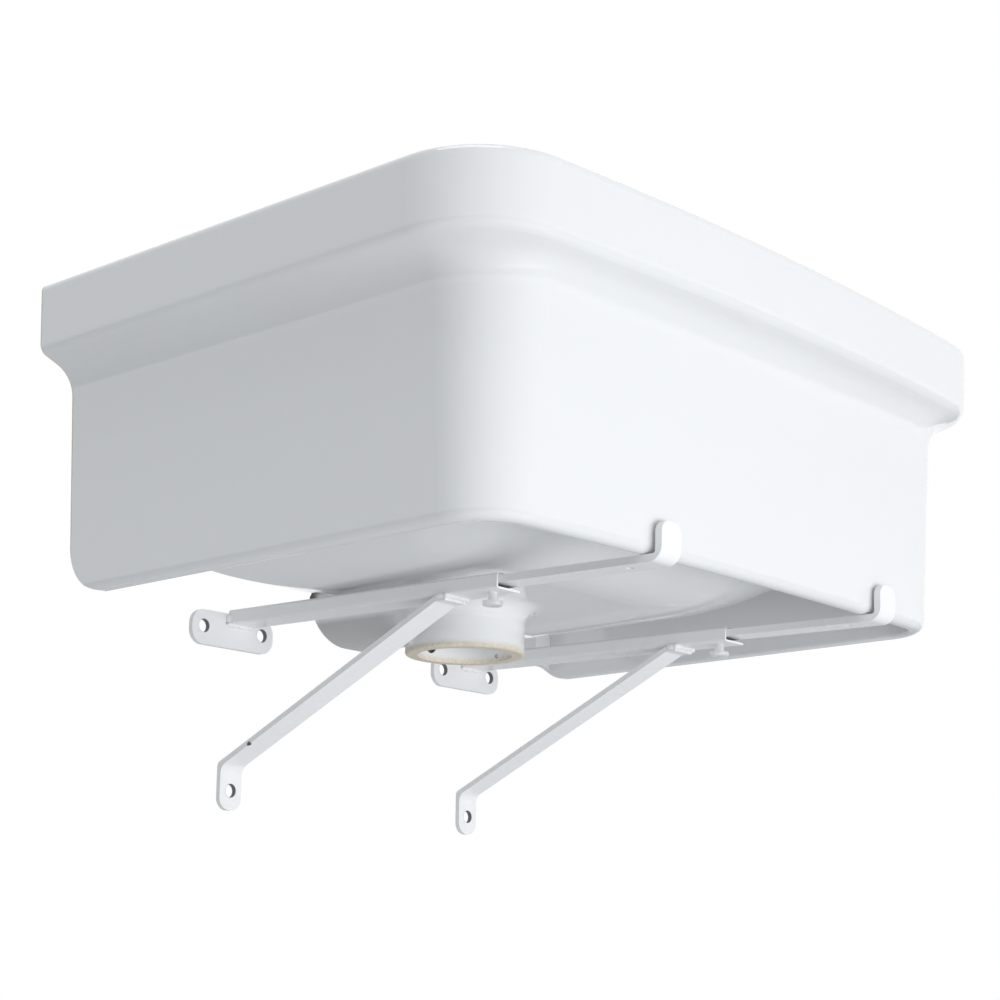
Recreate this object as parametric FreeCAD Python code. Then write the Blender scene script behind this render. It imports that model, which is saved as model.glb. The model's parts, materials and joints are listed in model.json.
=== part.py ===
# Wall-hung ceramic basin on two adjustable steel brackets.
# Frame: X to the right seen from the room, Y towards the wall, Z up, in millimetres.
# The origin is on the wall, on the basin's centreline, at the height of the skirt's lower edge.
import FreeCAD, Part
import math
import os

os.makedirs("parts", exist_ok=True)

# Basin, outside
rim_width = 600.0
rim_depth = 444.1          # from the wall to the middle of the bowed front
rim_corner_radius = 70.0
rim_height = 221.5
rim_top_rounding = 6.0
rim_face_draft = 2.5       # how far the rim's face leans in towards its lower edge
rim_face_height = 50.5
rim_lower_edge = rim_height - rim_face_height
rim_lower_rounding = 9.0
rim_underside_slope = 22.0 # degrees, down and inwards from the rim's lower edge
rim_side_overhang = 41.0
rim_front_overhang = 36.6
body_width = rim_width - 2 * rim_side_overhang  # at the lower edge
body_depth = rim_depth - rim_front_overhang
body_corner_radius = 42.0
body_draft = 10.0          # how far each wall leans out on the way up to the rim's lower edge
body_top_fillet = 24.0
rim_bow = 15.2             # how far the middle of the front stands proud of its corners
body_bow = 8.5
lip_outer_rounding = 7.0
lip_inner_rounding = 2.5
lip_back_rounding = 33.0

# Basin, inside of the bowl: a flat floor, a curve up on each side, then a nearly upright wall
bowl_floor_height = 26.0
bowl_floor_side_inset = 197.0
bowl_floor_front_inset = 199.0
bowl_floor_half_width = rim_width / 2 - bowl_floor_side_inset
bowl_floor_front = rim_depth - bowl_floor_front_inset
bowl_floor_back = 101.0
bowl_side_curve_below_rim = 71.5
bowl_front_curve_below_rim = 31.5
bowl_side_curve = (150.0, rim_height - bowl_side_curve_below_rim)
bowl_front_curve = (150.0, rim_height - bowl_front_curve_below_rim)
bowl_back_curve = (13.0, 13.0)
bowl_wall_draft = 4.0
bowl_floor_corner_share = 0.236
bowl_floor_corner = (bowl_floor_front - bowl_floor_back) * bowl_floor_corner_share
bowl_top_corner = 62.0
bowl_floor_bow = 6.0
bowl_edge_rounding = 8.0

# Basin, outside of the bowl between the skirts
pan_height = 12.0
pan_side_inset = 147.0
pan_front_inset = 157.0
pan_half_width = body_width / 2 - pan_side_inset
pan_front = body_depth - pan_front_inset
pan_back = 118.0
pan_side_curve_below_rim = 76.5
pan_front_curve_below_rim = 21.5
pan_side_curve = (145.0, rim_height - pan_side_curve_below_rim)
pan_front_curve = (158.0, rim_height - pan_front_curve_below_rim)
pan_back_radius = 185.0
pan_corner = 48.0
pan_top_corner = 70.0
pan_bow = 6.0
skirt_thickness = 11.0
skirt_hollow_height = 100.0
skirt_hollow_draft = 3.0
skirt_hollow_rounding = 8.0

# Basin, the hollow between the bowl's back and the wall
hollow_back_wall_foot = 25.0
hollow_back_wall_top = 72.0
hollow_foot_height = 27.0
hollow_knee_from_wall = 66.0
hollow_knee_height = 78.0
deck_thickness = 25.5
hollow_top_height = rim_height - deck_thickness
hollow_half_width = body_width / 2 - skirt_thickness
back_flange_thickness = 14.0
back_flange_width = 18.0
back_opening_half_width = hollow_half_width - back_flange_width
back_opening_rounding = 10.0
flange_foot_height = 12.0
flange_foot_rounding = 7.0
tap_hole_radius = 17.5
tap_hole_from_wall = 42.0

# Drain collar and overflow
drain_from_wall = 142.4
drain_bore_radius = 35.5
collar_radius = 45.0
collar_drop = 24.2         # how far the collar reaches below the lower edge
collar_edge_rounding = 2.0
collar_fillet = 14.0
strainer_recess_radius = 40.5
strainer_recess_depth = 3.0
duct_back_half_width = 52.0
duct_front_half_width = 43.0
duct_drop = 8.0
duct_corner_radius = 40.0
duct_top_height = 39.0     # inside the bowl's floor
overflow_inlet_radius = 9.0
overflow_inlet_below_rim = 59.5
overflow_inlet_height = rim_height - overflow_inlet_below_rim
overflow_pipe_radius = 6.0
overflow_pipe_top_from_wall = 73.5
overflow_pipe_foot_from_wall = 50.0
overflow_pipe_foot_height = 16.0
overflow_port_height = -10.0
overflow_mouth_height = -12.3
overflow_mouth_depth = 3.4     # how far the mouth is let into the collar's wall
overflow_rib_half_width = 19.0
overflow_rib_from_wall = 32.0
overflow_rib_below_rim = 43.5
overflow_rib_height = rim_height - overflow_rib_below_rim
overflow_rib_top_from_wall = 59.0
overflow_rib_knee_height = 100.0
overflow_rib_foot_height = 25.5
overflow_rib_rounding = 10.0

# Brackets, one set of sizes for both
bracket_spacing = 261.0
bracket_pair_shift = 28.0  # the pair stands this far to the right of the basin's centreline
arm_climb = 1.3            # degrees, each arm stands higher at the wall than at its hook
channel_width = 24.0
channel_height = 11.0
channel_sheet = 1.5
channel_bend_radius = 2.2
channel_end_from_wall = 277.0
bar_width = 20.5
bar_thickness = 5.2
bar_tail_from_wall = 155.0
bar_inner_bend_radius = 2.0
bar_outer_bend_radius = 10.0
bar_hole_radius = 2.5
bar_hole_from_hook = 28.0
hook_rise = 21.0           # above the bar's top face
hook_corner_radius = 7.0
slide_clearance = 0.2
rest_clearance = 0.3
hook_clearance = 1.8
plate_width = 80.0
plate_height = 26.4
plate_thickness = 4.0
plate_corner_radius = 11.0
plate_below_channel_top = 3.0
plate_offset = 7.0         # the plate sits this far to the left of the arm's middle
plate_hole_spacing = 57.5
plate_hole_drop = 12.4     # below the plate's top edge
wall_hole_radius = 5.0
strut_width = 21.0
strut_thickness = 4.0
strut_offset = 3.0         # the strut sits this far to the left of the arm's middle
strut_bend_radius = 4.0
strut_end_from_wall = 231.0
strut_bend_from_wall = 221.0
strut_knee_drop = 105.0    # from the channel's underside to the knee at the wall
foot_hole_drop = 120.5     # below the plate's holes
foot_below_hole = 14.6
foot_corner_radius = 9.5
screw_from_channel_end = 14.0
screw_radius = 3.5
screw_running_clearance = 0.05
screw_showing = 6.0        # bare shank between the channel and the head
screw_head_radius = 7.2
screw_head_height = 3.4
screw_head_rounding = 1.8
screw_tip_chamfer = 0.5
screw_tip_clearance = 0.3  # under the bar, with the bar free to slide
screw_slot_width = 1.4
screw_slot_depth = 1.6
screw_slot_length = 9.0

overrun = 3.0              # how far a cutting shape passes the surface it opens

# Outlines along each stretch of a curve
lip_steps = 4
pan_steps = 9
bowl_curve_steps = 9
bowl_wall_steps = 3

vector = FreeCAD.Vector
x_axis = vector(1, 0, 0)
y_axis = vector(0, 1, 0)
z_axis = vector(0, 0, 1)


def level_arc(centre_x, centre_y, radius, start, end, z):
    """Arc in a level plane between two directions given in degrees."""
    points = []
    for angle in (start, (start + end) / 2, end):
        turn = math.radians(angle)
        points.append(vector(centre_x + radius * math.cos(turn), centre_y + radius * math.sin(turn), z))
    return Part.Arc(*points).toShape()


def basin_outline(half_width, front, back, corner, bow, z, back_corner=0):
    """Level outline with rounded front corners and a bowed front; distances are from the wall."""
    bow_radius = (half_width ** 2 + bow ** 2) / (2 * bow)
    bow_centre = bow_radius - front
    corner_x = half_width - corner
    corner_y = bow_centre - math.sqrt((bow_radius - corner) ** 2 - corner_x ** 2)
    meet = math.degrees(math.atan2(corner_y - bow_centre, corner_x))
    side_end = -back - back_corner
    back_x = half_width - back_corner
    edges = [
        Part.makeLine(vector(-half_width, side_end, z), vector(-half_width, corner_y, z)),
        level_arc(-corner_x, corner_y, corner, -180, -180 - meet, z),
        level_arc(0, bow_centre, bow_radius, -180 - meet, meet, z),
        level_arc(corner_x, corner_y, corner, meet, 0, z),
        Part.makeLine(vector(half_width, corner_y, z), vector(half_width, side_end, z)),
    ]
    if back_corner:
        edges.append(level_arc(back_x, side_end, back_corner, 0, 90, z))
    edges.append(Part.makeLine(vector(back_x, -back, z), vector(-back_x, -back, z)))
    if back_corner:
        edges.append(level_arc(-back_x, side_end, back_corner, 90, 180, z))
    return Part.Wire(edges)


def rounded_wire(corners):
    """Closed flat wire through corner points, each given with its own radius."""
    starts = []
    arcs = []
    ends = []
    count = len(corners)
    for index, (corner, radius) in enumerate(corners):
        before = corners[index - 1][0]
        after = corners[(index + 1) % count][0]
        back = (before - corner).normalize()
        ahead = (after - corner).normalize()
        if not radius:
            starts.append(corner)
            ends.append(corner)
            arcs.append(None)
            continue
        half_angle = back.getAngle(ahead) / 2
        middle = (back + ahead).normalize()
        reach = radius / math.tan(half_angle)
        start = corner + back * reach
        end = corner + ahead * reach
        crown = corner + middle * (radius / math.sin(half_angle) - radius)
        starts.append(start)
        ends.append(end)
        arcs.append(Part.Arc(start, crown, end).toShape())
    edges = []
    for index in range(count):
        if arcs[index]:
            edges.append(arcs[index])
        edges.append(Part.makeLine(ends[index], starts[(index + 1) % count]))
    return Part.Wire(edges)


def prism(wire, direction):
    return Part.Face(wire).extrude(direction)


def side_profile(points, left, width):
    """Solid from a profile of (y, z, corner radius) points, drawn out to the right."""
    corners = []
    for y, z, radius in points:
        corners.append((vector(left, y, z), radius))
    return prism(rounded_wire(corners), x_axis * width)


def block(left, right, near, far, low, high):
    """Box between two values on each axis."""
    return Part.makeBox(right - left, far - near, high - low, vector(left, near, low))


def upright(radius, x, y, low, high):
    return Part.makeCylinder(radius, high - low, vector(x, y, low), z_axis)


def fillet_where(solid, radius, test):
    """Round the edges that the test picks."""
    picked = []
    for edge in solid.Edges:
        if test(edge):
            picked.append(edge)
    return solid.makeFillet(radius, picked)


def level_at(edge, z):
    box = edge.BoundBox
    near = rim_width / 10 ** 6
    return abs(box.ZMin - z) < near and abs(box.ZMax - z) < near


def behind_wall(edge):
    return edge.BoundBox.YMin > overrun / 2


def curve_reach(rise, curve):
    """How far an elliptic curve has run outwards after a rise; a curve is (run, rise)."""
    run, height = curve
    left_over = 1 - min(rise, height) / height
    return run * math.sqrt(1 - left_over ** 2)


def shell_outline(spread, z):
    """Level outline of the outside; spread is 0 on the plain wall and 1 at the rim's face."""
    lean = body_draft * z / rim_lower_edge
    wall_half = body_width / 2 + lean
    wall_front = body_depth + lean
    wall_corner = body_corner_radius + lean
    face_lean = rim_face_draft * (rim_height - z) / (rim_height - rim_lower_edge)
    rim_half = rim_width / 2 - face_lean
    rim_front = rim_depth - face_lean
    rim_corner = rim_corner_radius - face_lean
    half = wall_half + (rim_half - wall_half) * spread
    front = wall_front + (rim_front - wall_front) * spread
    corner = wall_corner + (rim_corner - wall_corner) * spread
    bow = body_bow + (rim_bow - body_bow) * spread
    return basin_outline(half, front, -overrun, corner, bow, z)


def outer_shell():
    """Rim and walls in one: plain wall, sloped underside, upright face, each joint rounded."""
    overhang = rim_width / 2 - rim_face_draft - body_width / 2 - body_draft
    wall_top = rim_lower_edge - overhang * math.tan(math.radians(rim_underside_slope))
    outlines = [
        shell_outline(0, 0),
        shell_outline(0, wall_top),
        shell_outline(1, rim_lower_edge),
        shell_outline(1, rim_height),
    ]
    shell = Part.makeLoft(outlines, True, True)
    for height, radius in (
            (wall_top, body_top_fillet), (rim_lower_edge, rim_lower_rounding),
            (rim_height, rim_top_rounding), (0, lip_outer_rounding)):
        shell = fillet_where(shell, radius, lambda edge: level_at(edge, height) and not behind_wall(edge))
    return shell.cut(block(-rim_width, rim_width, 0, 2 * overrun, -overrun, rim_height + overrun))


def bowl_space():
    """The hollow that holds water, up to the rim's top face."""
    rise_to_rim = rim_height - bowl_floor_height
    side_rise = bowl_side_curve[1]
    rises = []
    for step in range(bowl_curve_steps + 1):
        share = step / bowl_curve_steps
        rises.append(side_rise * (1 - math.cos(share * math.pi / 2)))
    for step in range(1, bowl_wall_steps + 1):
        share = step / bowl_wall_steps
        rises.append(side_rise + (rise_to_rim + overrun - side_rise) * share)
    wires = []
    for rise in rises:
        share = rise / rise_to_rim
        lean = bowl_wall_draft * share
        half = bowl_floor_half_width + curve_reach(rise, bowl_side_curve) + lean
        front = bowl_floor_front + curve_reach(rise, bowl_front_curve) + lean
        back = bowl_floor_back - curve_reach(rise, bowl_back_curve) - lean
        grown = curve_reach(rise, bowl_side_curve) / bowl_side_curve[0]
        corner = bowl_floor_corner + (bowl_top_corner - bowl_floor_corner) * grown
        bow = bowl_floor_bow + (rim_bow - bowl_floor_bow) * grown
        wires.append(basin_outline(half, front, back, corner, bow, bowl_floor_height + rise, corner))
    return Part.makeLoft(wires, True, False)


def pan_solid():
    """The bowl's outside, a flat panel that curves up on every side."""
    top_rise = skirt_hollow_height + skirt_thickness - pan_height
    turn = math.acos(1 - top_rise / pan_side_curve[1])
    wires = []
    for step in range(pan_steps + 1):
        share = step / pan_steps
        rise = pan_side_curve[1] * (1 - math.cos(share * turn))
        half = pan_half_width + curve_reach(rise, pan_side_curve)
        front = pan_front + curve_reach(rise, pan_front_curve)
        corner = pan_corner + (pan_top_corner - pan_corner) * share
        bow = pan_bow + (body_bow - pan_bow) * share
        wires.append(basin_outline(half, front, hollow_back_wall_foot, corner, bow, pan_height + rise))
    pan = Part.makeLoft(wires, True, False)
    middle = vector(-body_width, -pan_back, pan_height + pan_back_radius)
    roll = Part.makeCylinder(pan_back_radius, 2 * body_width, middle, x_axis)
    front_part = block(-body_width, body_width, -rim_depth, -pan_back, 0, rim_height)
    back_part = block(-body_width, body_width, -pan_back, 0, 0, rim_height).common(roll)
    return pan.common(front_part.fuse(back_part))


def skirt_space():
    """Everything inside the skirts, before the bowl's outside is put back."""
    half = body_width / 2 - skirt_thickness
    front = body_depth - skirt_thickness
    corner = body_corner_radius - skirt_thickness
    radius = lip_inner_rounding
    levels = [(-overrun, radius)]
    for step in range(lip_steps + 1):
        turn = math.pi / 2 * step / lip_steps
        levels.append((radius - radius * math.cos(turn), radius - radius * math.sin(turn)))
    levels.append((skirt_hollow_height, skirt_hollow_draft))
    wires = []
    for z, lean in levels:
        wires.append(basin_outline(
            half + lean, front + lean, back_flange_thickness, corner + lean, body_bow, z))
    space = Part.makeLoft(wires, True, True)

    def roof_edge(edge):
        return level_at(edge, skirt_hollow_height)

    return fillet_where(space, skirt_hollow_rounding, roof_edge)


def back_space():
    """The hollow between the bowl's back and the wall, and its opening in the wall face."""
    low = -collar_drop - overrun
    profile = [
        (-hollow_back_wall_foot, low, 0),
        (-hollow_back_wall_foot, hollow_foot_height, 0),
        (-hollow_knee_from_wall, hollow_knee_height, 0),
        (-hollow_back_wall_top, hollow_top_height, 0),
        (-back_flange_thickness, hollow_top_height, 0),
        (-back_flange_thickness, low, 0),
    ]
    inner = side_profile(profile, -hollow_half_width, 2 * hollow_half_width)
    half = back_opening_half_width
    foot_half = hollow_half_width
    high = hollow_top_height
    foot = flange_foot_height
    corners = []
    for x, z, radius in (
            (-foot_half, low, 0), (foot_half, low, 0), (foot_half, foot, flange_foot_rounding),
            (half, foot, flange_foot_rounding), (half, high, back_opening_rounding),
            (-half, high, back_opening_rounding), (-half, foot, flange_foot_rounding),
            (-foot_half, foot, flange_foot_rounding)):
        corners.append((vector(x, -back_flange_thickness - overrun, z), radius))
    opening = prism(rounded_wire(corners), y_axis * (back_flange_thickness + 2 * overrun))
    return inner.fuse(opening)


def duct_outline(half_width, y):
    high = duct_top_height
    corners = [
        (vector(-half_width, y, high), 0),
        (vector(-half_width, y, -duct_drop), duct_corner_radius),
        (vector(half_width, y, -duct_drop), duct_corner_radius),
        (vector(half_width, y, high), 0),
    ]
    return rounded_wire(corners)


def duct_solid():
    back = duct_outline(duct_back_half_width, -hollow_back_wall_foot)
    front = duct_outline(duct_front_half_width, -drain_from_wall)
    return Part.makeLoft([front, back], True, True)


def collar_solid():
    """Ring under the drain, flared where it meets the bowl's outside."""
    high = pan_height + strainer_recess_depth
    flare = collar_radius + collar_fillet
    turn = math.radians(45)
    crown_out = flare - collar_fillet * math.cos(turn)
    crown_up = pan_height - collar_fillet + collar_fillet * math.sin(turn)
    soft = collar_edge_rounding

    def spot(out, z):
        return vector(out, -drain_from_wall, z)

    edges = [
        Part.makeLine(spot(0, high), spot(0, -collar_drop)),
        Part.makeLine(spot(0, -collar_drop), spot(collar_radius - soft, -collar_drop)),
        Part.Arc(
            spot(collar_radius - soft, -collar_drop),
            spot(collar_radius - soft + soft * math.sin(turn), -collar_drop + soft - soft * math.cos(turn)),
            spot(collar_radius, -collar_drop + soft)).toShape(),
        Part.makeLine(
            spot(collar_radius, -collar_drop + soft), spot(collar_radius, pan_height - collar_fillet)),
        Part.Arc(
            spot(collar_radius, pan_height - collar_fillet), spot(crown_out, crown_up),
            spot(flare, pan_height)).toShape(),
        Part.makeLine(spot(flare, pan_height), spot(flare, high)),
        Part.makeLine(spot(flare, high), spot(0, high)),
    ]
    profile = Part.Face(Part.Wire(edges))
    return profile.revolve(spot(0, 0), z_axis, 360)


def overflow_rib():
    """Thick part of the bowl's back that the overflow pipe runs in."""
    front = -bowl_floor_back
    back = -overflow_rib_from_wall
    low = overflow_rib_foot_height
    points = [
        (front, low, 0),
        (front, overflow_rib_height, 0),
        (-overflow_rib_top_from_wall, overflow_rib_height, overflow_rib_rounding),
        (back, overflow_rib_knee_height, overflow_rib_rounding),
        (back, low, 0),
    ]
    return side_profile(points, -overflow_rib_half_width, 2 * overflow_rib_half_width)


def drain_space():
    bore = upright(
        drain_bore_radius, 0, -drain_from_wall, -collar_drop - overrun, bowl_floor_height + overrun)
    seat_low = bowl_floor_height - strainer_recess_depth
    seat = upright(strainer_recess_radius, 0, -drain_from_wall, seat_low, bowl_floor_height + overrun)
    return bore.fuse(seat)


def overflow_space():
    """Inlet in the bowl's back, pipe down inside the back wall, port into the drain's bore."""
    inlet_back = overflow_pipe_top_from_wall
    inlet_reach = bowl_floor_back - inlet_back
    inlet = Part.makeCylinder(
        overflow_inlet_radius, inlet_reach, vector(0, -inlet_back, overflow_inlet_height), -y_axis)
    top = vector(0, -overflow_pipe_top_from_wall, overflow_inlet_height)
    foot = vector(0, -overflow_pipe_foot_from_wall, overflow_pipe_foot_height)
    port = vector(0, drain_bore_radius / 2 - drain_from_wall, overflow_port_height)
    down = foot - top
    across = port - foot
    pipe = Part.makeCylinder(overflow_pipe_radius, down.Length, top, down)
    run = Part.makeCylinder(overflow_pipe_radius, across.Length, foot, across)
    mouth = Part.makeCylinder(
        overflow_pipe_radius, drain_bore_radius / 2 + overflow_mouth_depth,
        vector(0, drain_bore_radius / 2 - drain_from_wall, overflow_mouth_height), y_axis)
    bend = Part.makeSphere(overflow_pipe_radius, foot)
    cap = Part.makeSphere(overflow_inlet_radius, top)
    return inlet.fuse([pipe, run, mouth, bend, cap])


def underside():
    """What is put back inside the skirts: the bowl's outside, the duct and the collar."""
    return pan_solid().fuse([duct_solid(), collar_solid()]).removeSplitter()


def back_corner_space():
    """What is cut away to round the skirts' lower corners at the wall."""
    radius = lip_back_rounding
    square = block(-rim_width, rim_width, -radius, overrun, -overrun, radius)
    roll = Part.makeCylinder(radius, 2 * rim_width, vector(-rim_width, -radius, radius), x_axis)
    return square.cut(roll)


def soften(shape):
    """Round the bowl's upper edge."""
    bowl_half = rim_width / 2 - bowl_edge_rounding - rim_top_rounding
    bowl_back = -tap_hole_from_wall - tap_hole_radius

    def bowl_edge(edge):
        box = edge.BoundBox
        beside = box.XMin > -bowl_half and box.XMax < bowl_half
        return level_at(edge, rim_height) and beside and box.YMax < bowl_back

    return fillet_where(shape, bowl_edge_rounding, bowl_edge)


def basin():
    shape = outer_shell().cut(skirt_space()).cut(back_corner_space())
    shape = shape.fuse(underside())
    shape = shape.cut(back_space()).fuse(overflow_rib())
    shape = shape.cut(bowl_space())
    shape = shape.cut(drain_space()).cut(overflow_space())
    tap_low = hollow_top_height - overrun
    shape = shape.cut(upright(tap_hole_radius, 0, -tap_hole_from_wall, tap_low, rim_height + overrun))
    return soften(shape.removeSplitter())


def arm_middle(side):
    """X of an arm's middle; side is -1 for the left bracket and 1 for the right one."""
    return bracket_pair_shift + side * bracket_spacing / 2


def bar_top():
    return -rest_clearance


def channel_top():
    return bar_top() + slide_clearance + channel_sheet


def channel_bottom():
    return channel_top() - channel_height


def climbed_spot(y, z):
    """Where a point of a level arm comes to, turned about the skirt's lower edge by the climb."""
    turn = math.radians(arm_climb)
    along = y + body_depth - skirt_thickness
    above = z - bar_top()
    return (
        along * math.cos(turn) - above * math.sin(turn) - body_depth + skirt_thickness,
        along * math.sin(turn) + above * math.cos(turn) + bar_top())


def climbed(shape):
    turned = shape.copy()
    turned.rotate(vector(0, skirt_thickness - body_depth, bar_top()), x_axis, arm_climb)
    return turned


def plate_top():
    return climbed_spot(-plate_thickness, channel_top())[1] - plate_below_channel_top


def wall_plate(side):
    middle = arm_middle(side) - plate_offset
    high = plate_top()
    low = high - plate_height
    corners = []
    for x, z in (
            (middle - plate_width / 2, low), (middle + plate_width / 2, low),
            (middle + plate_width / 2, high), (middle - plate_width / 2, high)):
        corners.append((vector(x, -plate_thickness, z), plate_corner_radius))
    plate = prism(rounded_wire(corners), y_axis * plate_thickness)
    for way in (-1, 1):
        start = vector(middle + way * plate_hole_spacing / 2, -plate_thickness, high - plate_hole_drop)
        plate = plate.cut(Part.makeCylinder(wall_hole_radius, plate_thickness, start, y_axis))
    return plate


def screw_from_wall():
    return channel_end_from_wall - screw_from_channel_end


def channel_arm(side):
    """Channel with its web on the left and its open side on the right."""
    left = arm_middle(side) - channel_width / 2
    right = left + channel_width
    high = channel_top()
    low = channel_bottom()
    inner_bend = channel_bend_radius - channel_sheet
    y = -channel_end_from_wall
    corners = [
        (vector(right, y, high), 0),
        (vector(left, y, high), channel_bend_radius),
        (vector(left, y, low), channel_bend_radius),
        (vector(right, y, low), 0),
        (vector(right, y, low + channel_sheet), 0),
        (vector(left + channel_sheet, y, low + channel_sheet), inner_bend),
        (vector(left + channel_sheet, y, high - channel_sheet), inner_bend),
        (vector(right, y, high - channel_sheet), 0),
    ]
    channel = prism(rounded_wire(corners), y_axis * (channel_end_from_wall + plate_thickness))
    hole = upright(
        screw_radius + screw_running_clearance, arm_middle(side), -screw_from_wall(),
        low, low + channel_sheet)
    channel = climbed(channel.cut(hole))
    behind_plate = block(
        left - channel_width, right + channel_width, -plate_thickness, channel_end_from_wall,
        low - channel_end_from_wall, high + channel_end_from_wall)
    return channel.cut(behind_plate)


def strut(side):
    """Bent flat bar from the channel's underside down to its foot on the wall."""
    left = arm_middle(side) - strut_offset - strut_width / 2
    high = channel_bottom()
    bend_y, bend_z = climbed_spot(-strut_bend_from_wall, high)
    knee = climbed_spot(0, high)[1] - strut_knee_drop
    foot_hole = plate_top() - plate_hole_drop - foot_hole_drop
    foot = foot_hole - foot_below_hole
    slope = math.atan2(bend_z - knee, -bend_y)
    tab_shift = strut_thickness * math.tan((slope + math.radians(arm_climb)) / 2)
    foot_shift = strut_thickness * math.tan((math.pi / 2 - slope) / 2)
    points = [
        (*climbed_spot(-strut_end_from_wall, high), 0),
        (bend_y, bend_z, strut_bend_radius + strut_thickness),
        (0, knee, strut_bend_radius),
        (0, foot, 0),
        (-strut_thickness, foot, 0),
        (-strut_thickness, knee - foot_shift, strut_bend_radius + strut_thickness),
        (*climbed_spot(-strut_bend_from_wall - tab_shift, high - strut_thickness), strut_bend_radius),
        (*climbed_spot(-strut_end_from_wall, high - strut_thickness), 0),
    ]
    bar = side_profile(points, left, strut_width)
    hole_start = vector(left + strut_width / 2, -strut_thickness, foot_hole)
    bar = bar.cut(Part.makeCylinder(wall_hole_radius, strut_thickness, hole_start, y_axis))

    def foot_corner(edge):
        box = edge.BoundBox
        across = box.XLength < strut_thickness / 10 and box.ZLength < strut_thickness / 10
        return across and box.ZMax < foot + strut_thickness

    return fillet_where(bar, foot_corner_radius, foot_corner)


def hook_face(left):
    """How far a hook's inner face stands from the wall, clear of the basin's bowed front."""
    half = body_width / 2
    bow_radius = (half ** 2 + body_bow ** 2) / (2 * body_bow)
    nearest = min(abs(left), abs(left + bar_width))
    setback = bow_radius - math.sqrt(bow_radius ** 2 - nearest ** 2)
    lean = body_draft * hook_rise / rim_lower_edge
    return body_depth - setback + lean + hook_clearance


def hook_bar(side):
    """Flat bar that slides in the channel, bent up at the front."""
    left = arm_middle(side) - channel_width / 2 + channel_sheet + slide_clearance
    high = bar_top()
    low = high - bar_thickness
    face = -hook_face(left)
    points = [
        (-bar_tail_from_wall, low, 0),
        (-bar_tail_from_wall, high, 0),
        (face, high, bar_inner_bend_radius),
        (face, high + hook_rise, 0),
        (face - bar_thickness, high + hook_rise, 0),
        (face - bar_thickness, low, bar_outer_bend_radius),
    ]
    bar = side_profile(points, left, bar_width)

    def hook_corner(edge):
        box = edge.BoundBox
        across = box.XLength < bar_thickness / 10 and box.ZLength < bar_thickness / 10
        return across and box.ZMin > high + hook_rise / 2

    bar = fillet_where(bar, hook_corner_radius, hook_corner)
    hole = upright(bar_hole_radius, left + bar_width / 2, face + bar_hole_from_hook, low, high)
    return climbed(bar.cut(hole))


def lock_screw(side):
    """Pan-head screw up through the channel's lower sheet, its tip just under the bar."""
    x = arm_middle(side)
    y = -screw_from_wall()
    tip = bar_top() - bar_thickness - screw_tip_clearance
    head_top = channel_bottom() - screw_showing
    head_bottom = head_top - screw_head_height
    shank = upright(screw_radius, x, y, head_top, tip)
    shank = chamfered_tip(shank, tip)
    head = upright(screw_head_radius, x, y, head_bottom, head_top)
    head = fillet_where(head, screw_head_rounding, lambda edge: level_at(edge, head_bottom))
    screw = shank.fuse(head).removeSplitter()
    for along, across in (
            (screw_slot_length, screw_slot_width), (screw_slot_width, screw_slot_length)):
        slot = block(
            x - along / 2, x + along / 2, y - across / 2, y + across / 2,
            head_bottom, head_bottom + screw_slot_depth)
        screw = screw.cut(slot)
    return climbed(screw)


def chamfered_tip(shank, tip):
    edges = [edge for edge in shank.Edges if level_at(edge, tip)]
    return shank.makeChamfer(screw_tip_chamfer, edges)


shapes = {"basin": basin()}
for side_name, side in (("left", -1), ("right", 1)):
    shapes[side_name + "_wall_plate"] = wall_plate(side)
    shapes[side_name + "_channel_arm"] = channel_arm(side)
    shapes[side_name + "_strut"] = strut(side)
    shapes[side_name + "_hook_bar"] = hook_bar(side)
    shapes[side_name + "_lock_screw"] = lock_screw(side)

for name, shape in shapes.items():
    assert shape.isValid() and len(shape.Solids) == 1, name
    print(name, round(shape.Volume), shape.BoundBox)
    shape.exportStep("parts/" + name + ".step")
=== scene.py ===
import json
import math

import bmesh
import bpy
from mathutils import Matrix, Vector, noise


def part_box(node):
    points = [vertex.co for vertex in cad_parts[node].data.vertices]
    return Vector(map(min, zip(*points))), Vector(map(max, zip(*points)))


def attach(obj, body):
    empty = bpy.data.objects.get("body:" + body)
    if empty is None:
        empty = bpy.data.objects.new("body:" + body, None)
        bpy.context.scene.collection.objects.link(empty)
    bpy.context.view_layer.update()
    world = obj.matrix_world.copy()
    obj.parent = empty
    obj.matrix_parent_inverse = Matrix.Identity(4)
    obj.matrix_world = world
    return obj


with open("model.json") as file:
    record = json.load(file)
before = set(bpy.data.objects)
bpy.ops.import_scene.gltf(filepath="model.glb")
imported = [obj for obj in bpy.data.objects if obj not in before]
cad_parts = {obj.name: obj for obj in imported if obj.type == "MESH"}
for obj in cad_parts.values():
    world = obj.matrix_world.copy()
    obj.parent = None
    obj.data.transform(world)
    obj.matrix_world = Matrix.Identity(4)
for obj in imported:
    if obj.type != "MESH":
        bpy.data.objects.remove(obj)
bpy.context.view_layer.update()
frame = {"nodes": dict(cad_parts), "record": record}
nodes = frame["nodes"]
print("frame loaded:", len(nodes), "nodes")


# Shader graph helpers

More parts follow.
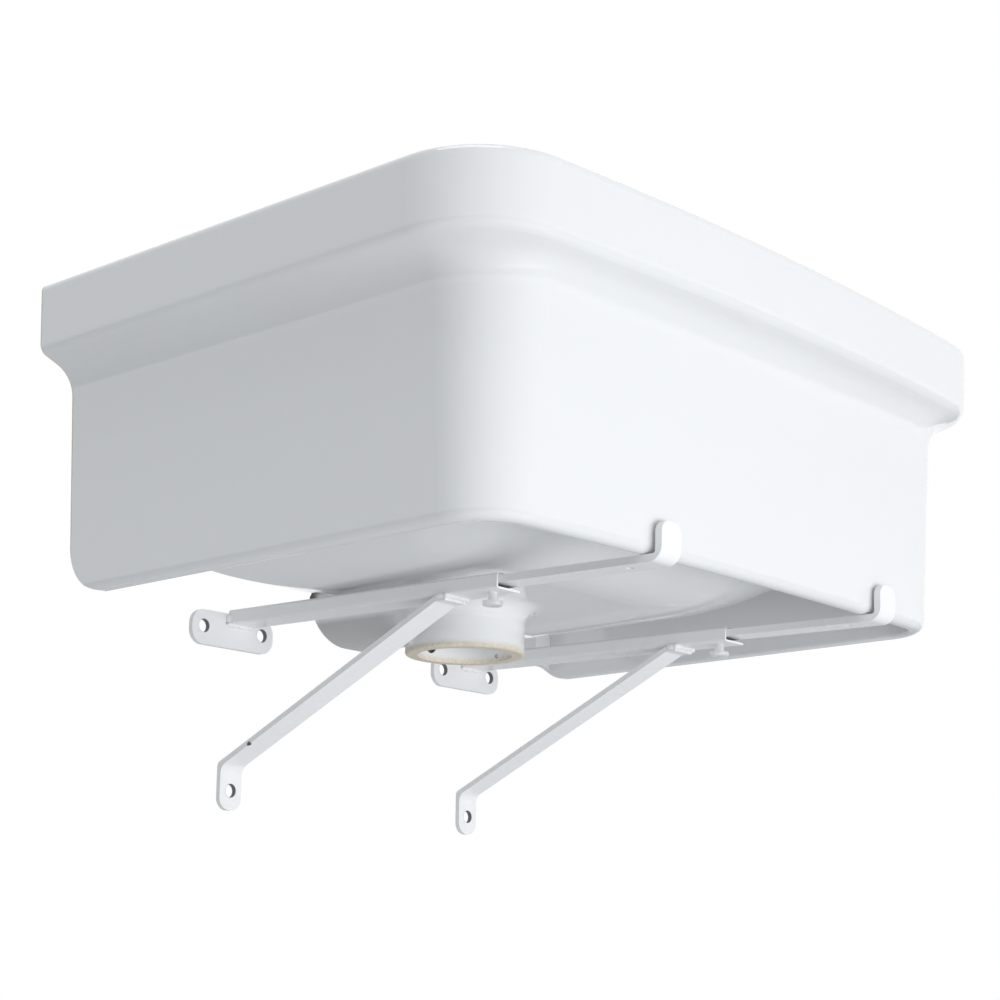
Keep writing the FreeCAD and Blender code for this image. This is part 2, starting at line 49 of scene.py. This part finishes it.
class Wire:
    # A shader socket that takes part in sums and products

    def __init__(self, graph, socket):
        self.graph = graph
        self.socket = socket

    def __add__(self, other):
        return self.graph.maths("ADD", self, other)

    def __radd__(self, other):
        return self.graph.maths("ADD", other, self)

    def __sub__(self, other):
        return self.graph.maths("SUBTRACT", self, other)

    def __rsub__(self, other):
        return self.graph.maths("SUBTRACT", other, self)

    def __mul__(self, other):
        return self.graph.maths("MULTIPLY", self, other)

    def __rmul__(self, other):
        return self.graph.maths("MULTIPLY", other, self)

    def power(self, other):
        return self.graph.maths("POWER", self, other)

    def most(self, other):
        return self.graph.maths("MAXIMUM", self, other)

    def size(self):
        return self.graph.maths("ABSOLUTE", self, 0.0)

    def ramp(self, low, high):
        # 0 below low and 1 above high, smooth between; it falls when low is the larger
        if low > high:
            return 1.0 - self.ramp(high, low)
        inputs = {"Value": self, "From Min": low, "From Max": high}
        return self.graph.wire("ShaderNodeMapRange", inputs, "Result", interpolation_type="SMOOTHSTEP")


class Graph:
    # Adds nodes to a material or to the world

    def __init__(self, tree):
        self.tree = tree

    def join(self, value, socket):
        if isinstance(value, Wire):
            self.tree.links.new(value.socket, socket)
        else:
            socket.default_value = value

    def make(self, kind, inputs, **settings):
        # Settings come first, because some of them change the sockets
        node = self.tree.nodes.new(kind)
        for key, value in settings.items():
            setattr(node, key, value)
        for key, value in inputs.items():
            self.join(value, node.inputs[key])
        return node

    def wire(self, kind, inputs, output=0, **settings):
        # A new node's output, ready for sums
        return Wire(self, self.make(kind, inputs, **settings).outputs[output])

    def maths(self, operation, first, second):
        return self.wire("ShaderNodeMath", {0: first, 1: second}, operation=operation)


class MaterialGraph(Graph):
    # Builds one material on its Object coordinates

    def __init__(self, name):
        self.material = bpy.data.materials.new(name)
        self.material.use_nodes = True
        super().__init__(self.material.node_tree)
        self.shader = self.tree.nodes["Principled BSDF"]
        self.place = self.wire("ShaderNodeTexCoord", {}, "Object")
        parts = self.make("ShaderNodeSeparateXYZ", {"Vector": self.place})
        self.x, self.y, self.z = [Wire(self, output) for output in parts.outputs]

    def reach(self, spot):
        # Distance from a spot; a coordinate of None is left out
        total = None
        for value, centre in zip((self.x, self.y, self.z), spot):
            if centre is not None:
                off = value - centre
                total = off * off if total is None else total + off * off
        return total.power(0.5)

    def noise(self, scale, detail, rough=0.5):
        inputs = {"Vector": self.place, "Scale": scale, "Detail": detail, "Roughness": rough}
        return self.wire("ShaderNodeTexNoise", inputs, "Fac")

    def cells(self, scale):
        inputs = {"Vector": self.place, "Scale": scale, "Randomness": 1.0}
        return self.wire("ShaderNodeTexVoronoi", inputs, "Distance")

    def blend(self, share, first, second):
        # A Mix node's sockets for colours are 6, 7 and output 2
        return self.wire("ShaderNodeMix", {0: share, 6: first, 7: second}, 2, data_type="RGBA")

    def bump(self, height, bumpLook, under=None):
        strength, distance = bumpLook
        inputs = {"Height": height, "Strength": strength, "Distance": distance}
        if under:
            inputs["Normal"] = under
        return self.wire("ShaderNodeBump", inputs)

    def finish(self, **inputs):
        for key, value in inputs.items():
            self.join(value, self.shader.inputs[key.replace("_", " ")])
        return self.material


def colour(red, green, blue):
    return (red, green, blue, 1.0)


# Glazed ceramic with its bare foot ring, and painted shade on the duct, the back hollow and the overflow's
# mouth
# In every look: a noise is its scale, detail and roughness, a bump its strength and depth,
# and any other pair says where a mask begins and where it is full

ceramicLook = {
    "glaze": colour(0.85, 0.86, 0.875),
    "thinGlaze": colour(0.82, 0.818, 0.805),
    "bareClay": colour(0.77, 0.71, 0.61),
    "bareClayDark": colour(0.67, 0.595, 0.475),
    # bare clay darkened with painted shade, for the back hollow
    "burntClay": colour(0.17, 0.125, 0.095),
    # grey for the painted shade on the duct
    "ductGlaze": colour(0.45, 0.44, 0.435),
    "dark": colour(0.10, 0.09, 0.085),
    "share": {"thinGlaze": 0.55, "speck": 0.35, "duct": 0.8, "crack": 0.8, "wave": 0.7, "ripple": 0.12},
    "noise": {
        "cloud": (5.0, 3.0), "fine": (38.0, 4.0, 0.6), "speck": (9.0, 1.0), "grain": (420.0, 5.0, 0.7),
        "crack": (900.0, 1.0), "wave": (7.5, 1.0), "ripple": (26.0, 1.0), "peel": (210.0, 2.0)},
    "patch": {"thinGlaze": (0.35, 0.975), "speck": (0.56, 0.64), "grain": (0.35, 0.7), "crack": (0.40, 0.50)},
    "bump": {"wave": (0.35, 0.004), "peel": (0.05, 0.0006), "grain": (0.35, 0.0010)},
    "speckScale": 62.0,
    "speckSize": (0.045, 0.02),
    "roughness": {"least": 0.07, "fine": 0.05, "bare": 0.72},
    "coat": 0.6,
    "coatRoughness": 0.03,
    "glassIndex": 1.5,
    "wander": 0.0016,          # how far the glaze's edges stray
    "drain": (0.0, -0.1424),
    "ring": {"bottom": -0.0242, "up": (0.0066, 0.0012), "out": (0.060, 0.050)},
    "back": (-0.0016, -0.0008),
    # where the painted shade darkens the duct
    "duct": {
        "half": (0.062, 0.058), "under": (0.0105, 0.0055), "behind": (-0.118, -0.085),
        "out": (0.047, 0.056)},
    # where painted shade darkens the bare clay in the back hollow, beside the duct's end
    "burnt": {
        "half": (0.080, 0.070), "over": (0.011, 0.018), "under": (0.090, 0.040),
        "behind": (-0.040, -0.028), "sway": 3.0, "topSway": 8.0},
    # where painted shade darkens the overflow's mouth
    "mouth": {
        "out": (0.0361, 0.0371), "deep": (0.0445, 0.0435), "half": (0.0066, 0.0062),
        "over": (-0.0192, -0.0186), "under": (0.008, 0.004), "behind": (-0.125, -0.120)},
    "crack": {"at": (0.0355, -0.1425, -0.0196), "size": (0.0023, 0.0012)},
}


def bareClayAndShadeMasks(g, edge, fromDrain):
    # The ring under the drain stood bare in the kiln, and so did the back; the back hollow's bare clay is
    # also darkened with painted shade
    ring, burnt = ceramicLook["ring"], ceramicLook["burnt"]
    ringMask = (g.z - ring["bottom"] + edge).ramp(*ring["up"]) * fromDrain.ramp(*ring["out"])
    backMask = (g.y + edge).ramp(*ceramicLook["back"])
    # Bare clay darkened with painted shade beside the duct's end and low on the rib
    backHollowShadeMask = (g.y + edge * burnt["sway"]).ramp(*burnt["behind"])
    backHollowShadeMask = backHollowShadeMask * g.x.size().ramp(*burnt["half"]) * (g.z + edge).ramp(*burnt["over"])
    backHollowShadeMask = backHollowShadeMask * (g.z + edge * burnt["topSway"]).ramp(*burnt["under"])
    return ringMask.most(backMask).most(backHollowShadeMask), backHollowShadeMask


def mouthShadeAndCrackMask(g, fromDrain):
    # Painted shade in the overflow's mouth, in the wall side of the collar, and a crack in the drain's bore
    look, mouth, crack = ceramicLook, ceramicLook["mouth"], ceramicLook["crack"]
    mouthShadeMask = fromDrain.ramp(*mouth["out"]) * fromDrain.ramp(*mouth["deep"])
    mouthShadeMask = mouthShadeMask * g.x.size().ramp(*mouth["half"]) * g.z.ramp(*mouth["over"])
    mouthShadeMask = mouthShadeMask * g.z.ramp(*mouth["under"]) * g.y.ramp(*mouth["behind"])
    crackMask = g.reach(crack["at"]).ramp(*crack["size"])
    crackMask = crackMask * g.noise(*look["noise"]["crack"]).ramp(*look["patch"]["crack"])
    return mouthShadeMask.most(crackMask * look["share"]["crack"])


def glazedCeramic():
    look = ceramicLook
    share, patch, bump, duct, dull = [look[name] for name in ("share", "patch", "bump", "duct", "roughness")]
    g = MaterialGraph("glazedCeramic")
    cloud, fine, grain, wave, ripple, peel = [
        g.noise(*look["noise"][name]) for name in ("cloud", "fine", "grain", "wave", "ripple", "peel")]
    tint = cloud.ramp(*patch["thinGlaze"]) * share["thinGlaze"]
    glaze = g.blend(tint, look["glaze"], look["thinGlaze"])
    # Rare pale brown specks in the glaze
    speck = g.cells(look["speckScale"]).ramp(*look["speckSize"])
    speck = speck * g.noise(*look["noise"]["speck"]).ramp(*patch["speck"])
    glaze = g.blend(speck * share["speck"], glaze, look["bareClayDark"])
    edge = (fine - 0.5) * look["wander"]
    # Painted shade: the duct, between the collar and the wall, is darkened to grey
    fromDrain = g.reach((*look["drain"], None))
    ductShadeMask = g.x.size().ramp(*duct["half"]) * (g.z + edge).ramp(*duct["under"])
    ductShadeMask = ductShadeMask * g.y.ramp(*duct["behind"]) * fromDrain.ramp(*duct["out"])
    glaze = g.blend(ductShadeMask * share["duct"], glaze, look["ductGlaze"])
    bare, burnt = bareClayAndShadeMasks(g, edge, fromDrain)
    clay = g.blend(grain.ramp(*patch["grain"]), look["bareClay"], look["bareClayDark"])
    # painted shade: the back hollow's bare clay is darkened to near black brown
    clay = g.blend(burnt, clay, look["burntClay"])
    base = g.blend(bare, glaze, clay)
    # painted shade in the overflow's mouth, and the crack
    base = g.blend(mouthShadeAndCrackMask(g, fromDrain), base, look["dark"])
    rough = dull["least"] + fine * dull["fine"] + bare * dull["bare"]
    coat = (1.0 - bare) * look["coat"]
    normal = g.bump(wave * share["wave"] + ripple * share["ripple"], bump["wave"])
    normal = g.bump(peel, bump["peel"], normal)
    normal = g.bump(grain * bare, bump["grain"], normal)
    return g.finish(
        Base_Color=base, Roughness=rough, Coat_Weight=coat, Coat_Roughness=look["coatRoughness"],
        IOR=look["glassIndex"], Normal=normal)


# White paint on bent steel, with painted shade in its holes, its channels' mouths and its bars' tails

paintLook = {
    "paint": colour(0.93, 0.935, 0.945),
    "shade": colour(0.88, 0.885, 0.89),
    "scuff": colour(0.42, 0.42, 0.42),
    # bare steel at the chip, and the painted shade inside the channels' mouths
    "bare": colour(0.055, 0.05, 0.047),
    # painted shade for the walls of the holes
    "holeWall": colour(0.20, 0.20, 0.205),
    # grey painted shade on the bars' hidden tails
    "bareSteel": colour(0.30, 0.30, 0.305),
    "share": {"shade": 0.5, "scuff": 0.55, "scuffDip": 0.4},
    "noise": {
        "cloud": (14.0, 3.0), "smear": (60.0, 5.0, 0.65), "scuff": (22.0, 2.0), "peel": (900.0, 2.0),
        "drip": (120.0, 2.0)},
    "patch": {"cloud": (0.35, 0.75), "smear": (0.69, 0.74), "scuff": (0.5, 0.62)},
    "bump": {"peel": (0.12, 0.0004), "drip": (0.10, 0.0010)},
    "roughness": {"least": 0.20, "cloud": 0.12, "scuff": 0.2, "bare": 0.3},
    "chip": {"at": (-0.116, -0.0345, -0.0942), "size": (0.0026, 0.00156)},
    "hole": {"out": (0.00535, 0.00505), "behind": (-0.0046, -0.0042)},
}

armLook = {
    "climb": 1.3,                 # degrees, as in the CAD
    "pivot": (-0.3965, -0.0003),
    "channelHigh": 0.0017,        # over the bar's top
    "channelLow": -0.0093,
    "sheet": 0.0015,
    "innerFace": (0.75, 0.95),    # shares of the sheet
    "mouth": -0.277,
    "dark": (0.0002, 0.0008),     # in from the mouth, as the next two
    "painted": (0.050, 0.025),
    "tail": (0.0005, 0.006),
}


def climb(y):
    # How far an arm has climbed at y, on its way to the wall
    return (y - armLook["pivot"][0]) * math.tan(math.radians(armLook["climb"]))


def fromMouth(g, pair):
    begin, full = pair
    return g.y.ramp(armLook["mouth"] + begin, armLook["mouth"] + full)


def wallHoles():
    found = []
    for mount in frame["record"]["mounts"]:
        x, y, z = mount["pos_m"]
        if mount["kind"] == "bolt_pattern":
            half = mount["dims"]["spacing_x_mm"] / 2000.0
            found += [(x - half, z), (x + half, z)]
        elif mount["name"].endswith("foot_hole"):
            found.append((x, z))
    return found


def inWallHoles(g):
    # Painted shade: the walls of the holes in the plates and feet are darkened
    mask = None
    for x, z in wallHoles():
        near = g.reach((x, None, z)).ramp(*paintLook["hole"]["out"])
        mask = near if mask is None else mask.most(near)
    return mask * g.y.ramp(*paintLook["hole"]["behind"])


def inChannel(left):
    # Painted shade: dark inside a channel, just behind its mouth
    def mask(g):
        look = armLook
        level = g.z - climb(g.y) - look["pivot"][1]
        begin, full = [look["sheet"] * part for part in look["innerFace"]]
        inner = level.ramp(look["channelLow"] + begin, look["channelLow"] + full)
        inner = inner * level.ramp(look["channelHigh"] - begin, look["channelHigh"] - full)
        inner = inner * g.x.ramp(left + begin, left + full)
        return inner * fromMouth(g, look["dark"]) * fromMouth(g, look["painted"])
    return mask


def insideTail(g):
    # The part of a bar that the channel hides at rest, painted grey as painted shade for the channel's mouth
    return fromMouth(g, armLook["tail"])


def whitePaint(name, paintedShadeMask=None, paintedShadeTone="bare"):
    look = paintLook
    share, patch, bump, dull, chip = [look[part] for part in ("share", "patch", "bump", "roughness", "chip")]
    g = MaterialGraph(name)
    cloud, smear, patches, peel, drip = [
        g.noise(*look["noise"][part]) for part in ("cloud", "smear", "scuff", "peel", "drip")]
    base = g.blend(cloud.ramp(*patch["cloud"]) * share["shade"], look["paint"], look["shade"])
    scuff = smear.ramp(*patch["smear"]) * patches.ramp(*patch["scuff"])
    base = g.blend(scuff * share["scuff"], base, look["scuff"])
    base = g.blend(g.reach(chip["at"]).ramp(*chip["size"]), base, look["bare"])
    rough = dull["least"] + cloud * dull["cloud"] + scuff * dull["scuff"]
    # painted shade where the mask says: hole walls, channel mouths or a bar's hidden tail
    if paintedShadeMask:
        bare = paintedShadeMask(g)
        base = g.blend(bare, base, look[paintedShadeTone])
        rough = rough + bare * dull["bare"]
    normal = g.bump(peel, bump["peel"])
    normal = g.bump(drip - scuff * share["scuffDip"], bump["drip"], normal)
    return g.finish(Base_Color=base, Roughness=rough, Normal=normal)


# Bright zinc on the lock screws

zincLook = {
    "zinc": colour(0.985, 0.987, 0.99),
    "dull": colour(0.86, 0.862, 0.866),
    "metal": 0.6,
    "noise": {"cloud": (180.0, 4.0, 0.6), "grain": (1400.0, 2.0)},
    "patch": (0.35, 0.75),
    "bump": (0.15, 0.0003),
    "roughness": {"least": 0.26, "cloud": 0.18},
}


def brightZinc():
    look = zincLook
    g = MaterialGraph("brightZinc")
    cloud = g.noise(*look["noise"]["cloud"])
    base = g.blend(cloud.ramp(*look["patch"]), look["zinc"], look["dull"])
    rough = look["roughness"]["least"] + cloud * look["roughness"]["cloud"]
    normal = g.bump(g.noise(*look["noise"]["grain"]), look["bump"])
    return g.finish(Base_Color=base, Roughness=rough, Metallic=look["metal"], Normal=normal)


def dress(names, material):
    for name in names:
        for slot in nodes[name].material_slots:
            slot.material = material


def named(*endings):
    return [name for name in nodes if name.endswith(endings)]


dress(["basin"], glazedCeramic())
dress(named("wall_plate", "strut"), whitePaint("platePaint", inWallHoles, "holeWall"))
for arm in named("channel_arm"):
    dress([arm], whitePaint(arm + "Paint", inChannel(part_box(arm)[0][0])))
dress(named("hook_bar"), whitePaint("barPaint", insideTail, "bareSteel"))
dress(named("lock_screw"), brightZinc())
print("materials set on", len(nodes), "nodes")


# Weld beads, painted over

weldLook = {
    "plateBead": 0.0021,
    "tabBead": 0.0021,
    "step": 0.0007,
    "around": 12,
    "ripple": 0.0030,
    "rippleShare": 0.12,
    "lumpShare": 0.45,
    "lumpScale": 260.0,
    "blunt": 0.25,      # the bead's ends are rounded from this share of the radius
    "front": 0.0006,    # before the plate
    "beside": 0.0003,   # outside the arm
    "under": 0.0004,
    "short": 0.001,     # it ends this far before an edge
    "tab": {"near": -0.2312, "far": -0.2215, "left": -0.0007, "right": 0.0195},
}


def alongArm(x, y, level):
    # A spot beside an arm, given by its height over the bar's top
    return Vector((x, y, armLook["pivot"][1] + level + climb(y)))


def addPiece(name, made, material):
    mesh = bpy.data.meshes.new(name)
    made.to_mesh(mesh)
    made.free()
    mesh.materials.append(material)
    piece = bpy.data.objects.new(name, mesh)
    bpy.context.scene.collection.objects.link(piece)
    return piece


def ringPlaces(corners, radius):
    # Where the rings of a bead stand along its corners, with its ripples, lumps and blunt ends
    look = weldLook
    spots = []
    for start, end in zip(corners, corners[1:]):
        count = max(2, round((end - start).length / look["step"]))
        spots += [start.lerp(end, step / count) for step in range(count)]
    spots.append(corners[-1])
    places = []
    for index, spot in enumerate(spots):
        before = spots[max(index - 2, 0)]
        after = spots[min(index + 2, len(spots) - 1)]
        turn = (after - before).to_track_quat("Z", "X").to_matrix().to_4x4()
        along = index * look["step"]
        swell = 1.0 + look["rippleShare"] * math.sin(along / look["ripple"] * 2.0 * math.pi)
        swell += look["lumpShare"] * noise.noise(spot * look["lumpScale"])
        fromEnd = min(index, len(spots) - 1 - index) * look["step"]
        taper = math.sqrt(min(1.0, (fromEnd + radius * look["blunt"]) / radius))
        places.append(Matrix.Translation(spot) @ turn @ Matrix.Scale(radius * swell * taper, 4))
    return places


def weldBead(name, corners, radius):
    places = ringPlaces(corners, radius)
    made = bmesh.new()
    bmesh.ops.create_circle(made, radius=1.0, segments=weldLook["around"], matrix=places[0])
    rim = made.edges[:]
    for last, place in zip(places, places[1:]):
        new = bmesh.ops.extrude_edge_only(made, edges=rim)["geom"]
        vertices = [part for part in new if isinstance(part, bmesh.types.BMVert)]
        rim = [part for part in new if isinstance(part, bmesh.types.BMEdge) and part.is_boundary]
        bmesh.ops.transform(made, matrix=place @ last.inverted(), verts=vertices)
    bmesh.ops.holes_fill(made, edges=made.edges)
    bmesh.ops.recalc_face_normals(made, faces=made.faces)
    for face in made.faces:
        face.smooth = True
    bead = addPiece(name, made, beadPaint)
    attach(bead, "brackets")


def makeWelds(side):
    look = weldLook
    low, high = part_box(side + "_channel_arm")
    plateLow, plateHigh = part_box(side + "_wall_plate")
    left, right = low[0], high[0]
    front = plateLow[1] - look["front"]
    under = armLook["channelLow"] - look["under"]
    corner = alongArm(left - look["beside"], front, under)
    top = Vector((left - look["beside"], front, plateHigh[2] - look["short"]))
    end = alongArm(right - look["short"], front, under)
    weldBead(side + "PlateWeld", [top, corner, end], look["plateBead"])
    tab = look["tab"]
    tabLeft, tabRight = left + tab["left"], left + tab["right"]
    weldBead(side + "TabWeld", [
        alongArm(tabRight, tab["far"], under), alongArm(tabRight, tab["near"], under),
        alongArm(tabLeft, tab["near"], under), alongArm(tabLeft, tab["far"], under)], look["tabBead"])


beadPaint = whitePaint("beadPaint")
for side in ("left", "right"):
    makeWelds(side)
print("weld beads made")


# Floor, lights and backdrop

studio = {
    "floorHeight": -1.05,
    "floorHalf": 9.0,
    "floorTone": colour(0.80, 0.80, 0.80),
    "floorRoughness": 0.8,
    "fillTone": colour(0.93, 0.965, 1.0),
    "fillStrength": 0.50,
    "backdropTone": colour(1.0, 1.0, 1.0),
    "lamps": (
        {"name": "frontLamp", "at": (-0.12, -2.6, -0.60), "size": (2.3, 0.8),
         "watts": 33.0, "mirrored": False},
        {"name": "topLamp", "at": (-0.6, -0.4, 2.4), "size": (1.6, 1.6),
         "watts": 16.0, "mirrored": True},
    ),
    "aim": (0.0, -0.2, 0.1),
}


def makeFloor():
    made = bmesh.new()
    bmesh.ops.create_grid(
        made, x_segments=1, y_segments=1, size=studio["floorHalf"],
        matrix=Matrix.Translation((0.0, 0.0, studio["floorHeight"])))
    paint = MaterialGraph("floorPaint").finish(
        Base_Color=studio["floorTone"], Roughness=studio["floorRoughness"])
    floor = addPiece("floor", made, paint)


def makeLamps():
    aim = Vector(studio["aim"])
    for lamp in studio["lamps"]:
        data = bpy.data.lights.new(lamp["name"], "AREA")
        data.energy = lamp["watts"]
        data.shape = "RECTANGLE"
        data.size, data.size_y = lamp["size"]
        made = bpy.data.objects.new(lamp["name"], data)
        bpy.context.scene.collection.objects.link(made)
        made.location = lamp["at"]
        made.visible_glossy = lamp["mirrored"]
        made.rotation_mode = "QUATERNION"
        made.rotation_quaternion = (aim - made.location).to_track_quat("-Z", "Y")


def makeWorld():
    world = bpy.data.worlds.new("studioWorld")
    bpy.context.scene.world = world
    world.use_nodes = True
    world.node_tree.nodes.clear()
    g = Graph(world.node_tree)
    # The backdrop is seen by the camera, in mirrors and through clear things; the fill lights the rest
    rays = g.make("ShaderNodeLightPath", {}).outputs
    seen = Wire(g, rays["Is Camera Ray"])
    for name in ("Is Glossy Ray", "Is Transmission Ray"):
        seen = seen.most(Wire(g, rays[name]))
    fill = g.wire("ShaderNodeBackground", {"Color": studio["fillTone"], "Strength": studio["fillStrength"]})
    backdrop = g.wire("ShaderNodeBackground", {"Color": studio["backdropTone"], "Strength": 1.0})
    surface = g.wire("ShaderNodeMixShader", {0: seen, 1: fill, 2: backdrop})
    g.make("ShaderNodeOutputWorld", {"Surface": surface})


makeFloor()
makeLamps()
makeWorld()
bpy.context.scene.view_settings.view_transform = "Standard"
print("studio ready")


# Camera, fitted to the picture

cameraFit = {
    "at": (-1.1193, -1.1823, -0.2789),
    "yaw": 48.044,
    "pitch": 13.821,
    "roll": 0.705,
    "lens": 73.97,
    "sensor": 36.0,
    "near": 0.01,
    "far": 50.0,
}


def makeCamera():
    fit = cameraFit
    yaw, pitch, roll = [math.radians(fit[name]) for name in ("yaw", "pitch", "roll")]
    ahead = Vector((math.sin(yaw) * math.cos(pitch), math.cos(yaw) * math.cos(pitch), math.sin(pitch)))
    level = Vector((math.cos(yaw), -math.sin(yaw), 0.0))
    above = level.cross(ahead)
    right = level * math.cos(roll) + above * math.sin(roll)
    up = above * math.cos(roll) - level * math.sin(roll)
    data = bpy.data.cameras.new("camera")
    data.lens = fit["lens"]
    data.sensor_width = fit["sensor"]
    data.clip_start = fit["near"]
    data.clip_end = fit["far"]
    camera = bpy.data.objects.new("camera", data)
    bpy.context.scene.collection.objects.link(camera)
    turn = Matrix((right, up, -ahead)).transposed()
    camera.matrix_world = Matrix.Translation(fit["at"]) @ turn.to_4x4()
    bpy.context.scene.camera = camera


makeCamera()
print("camera ready")
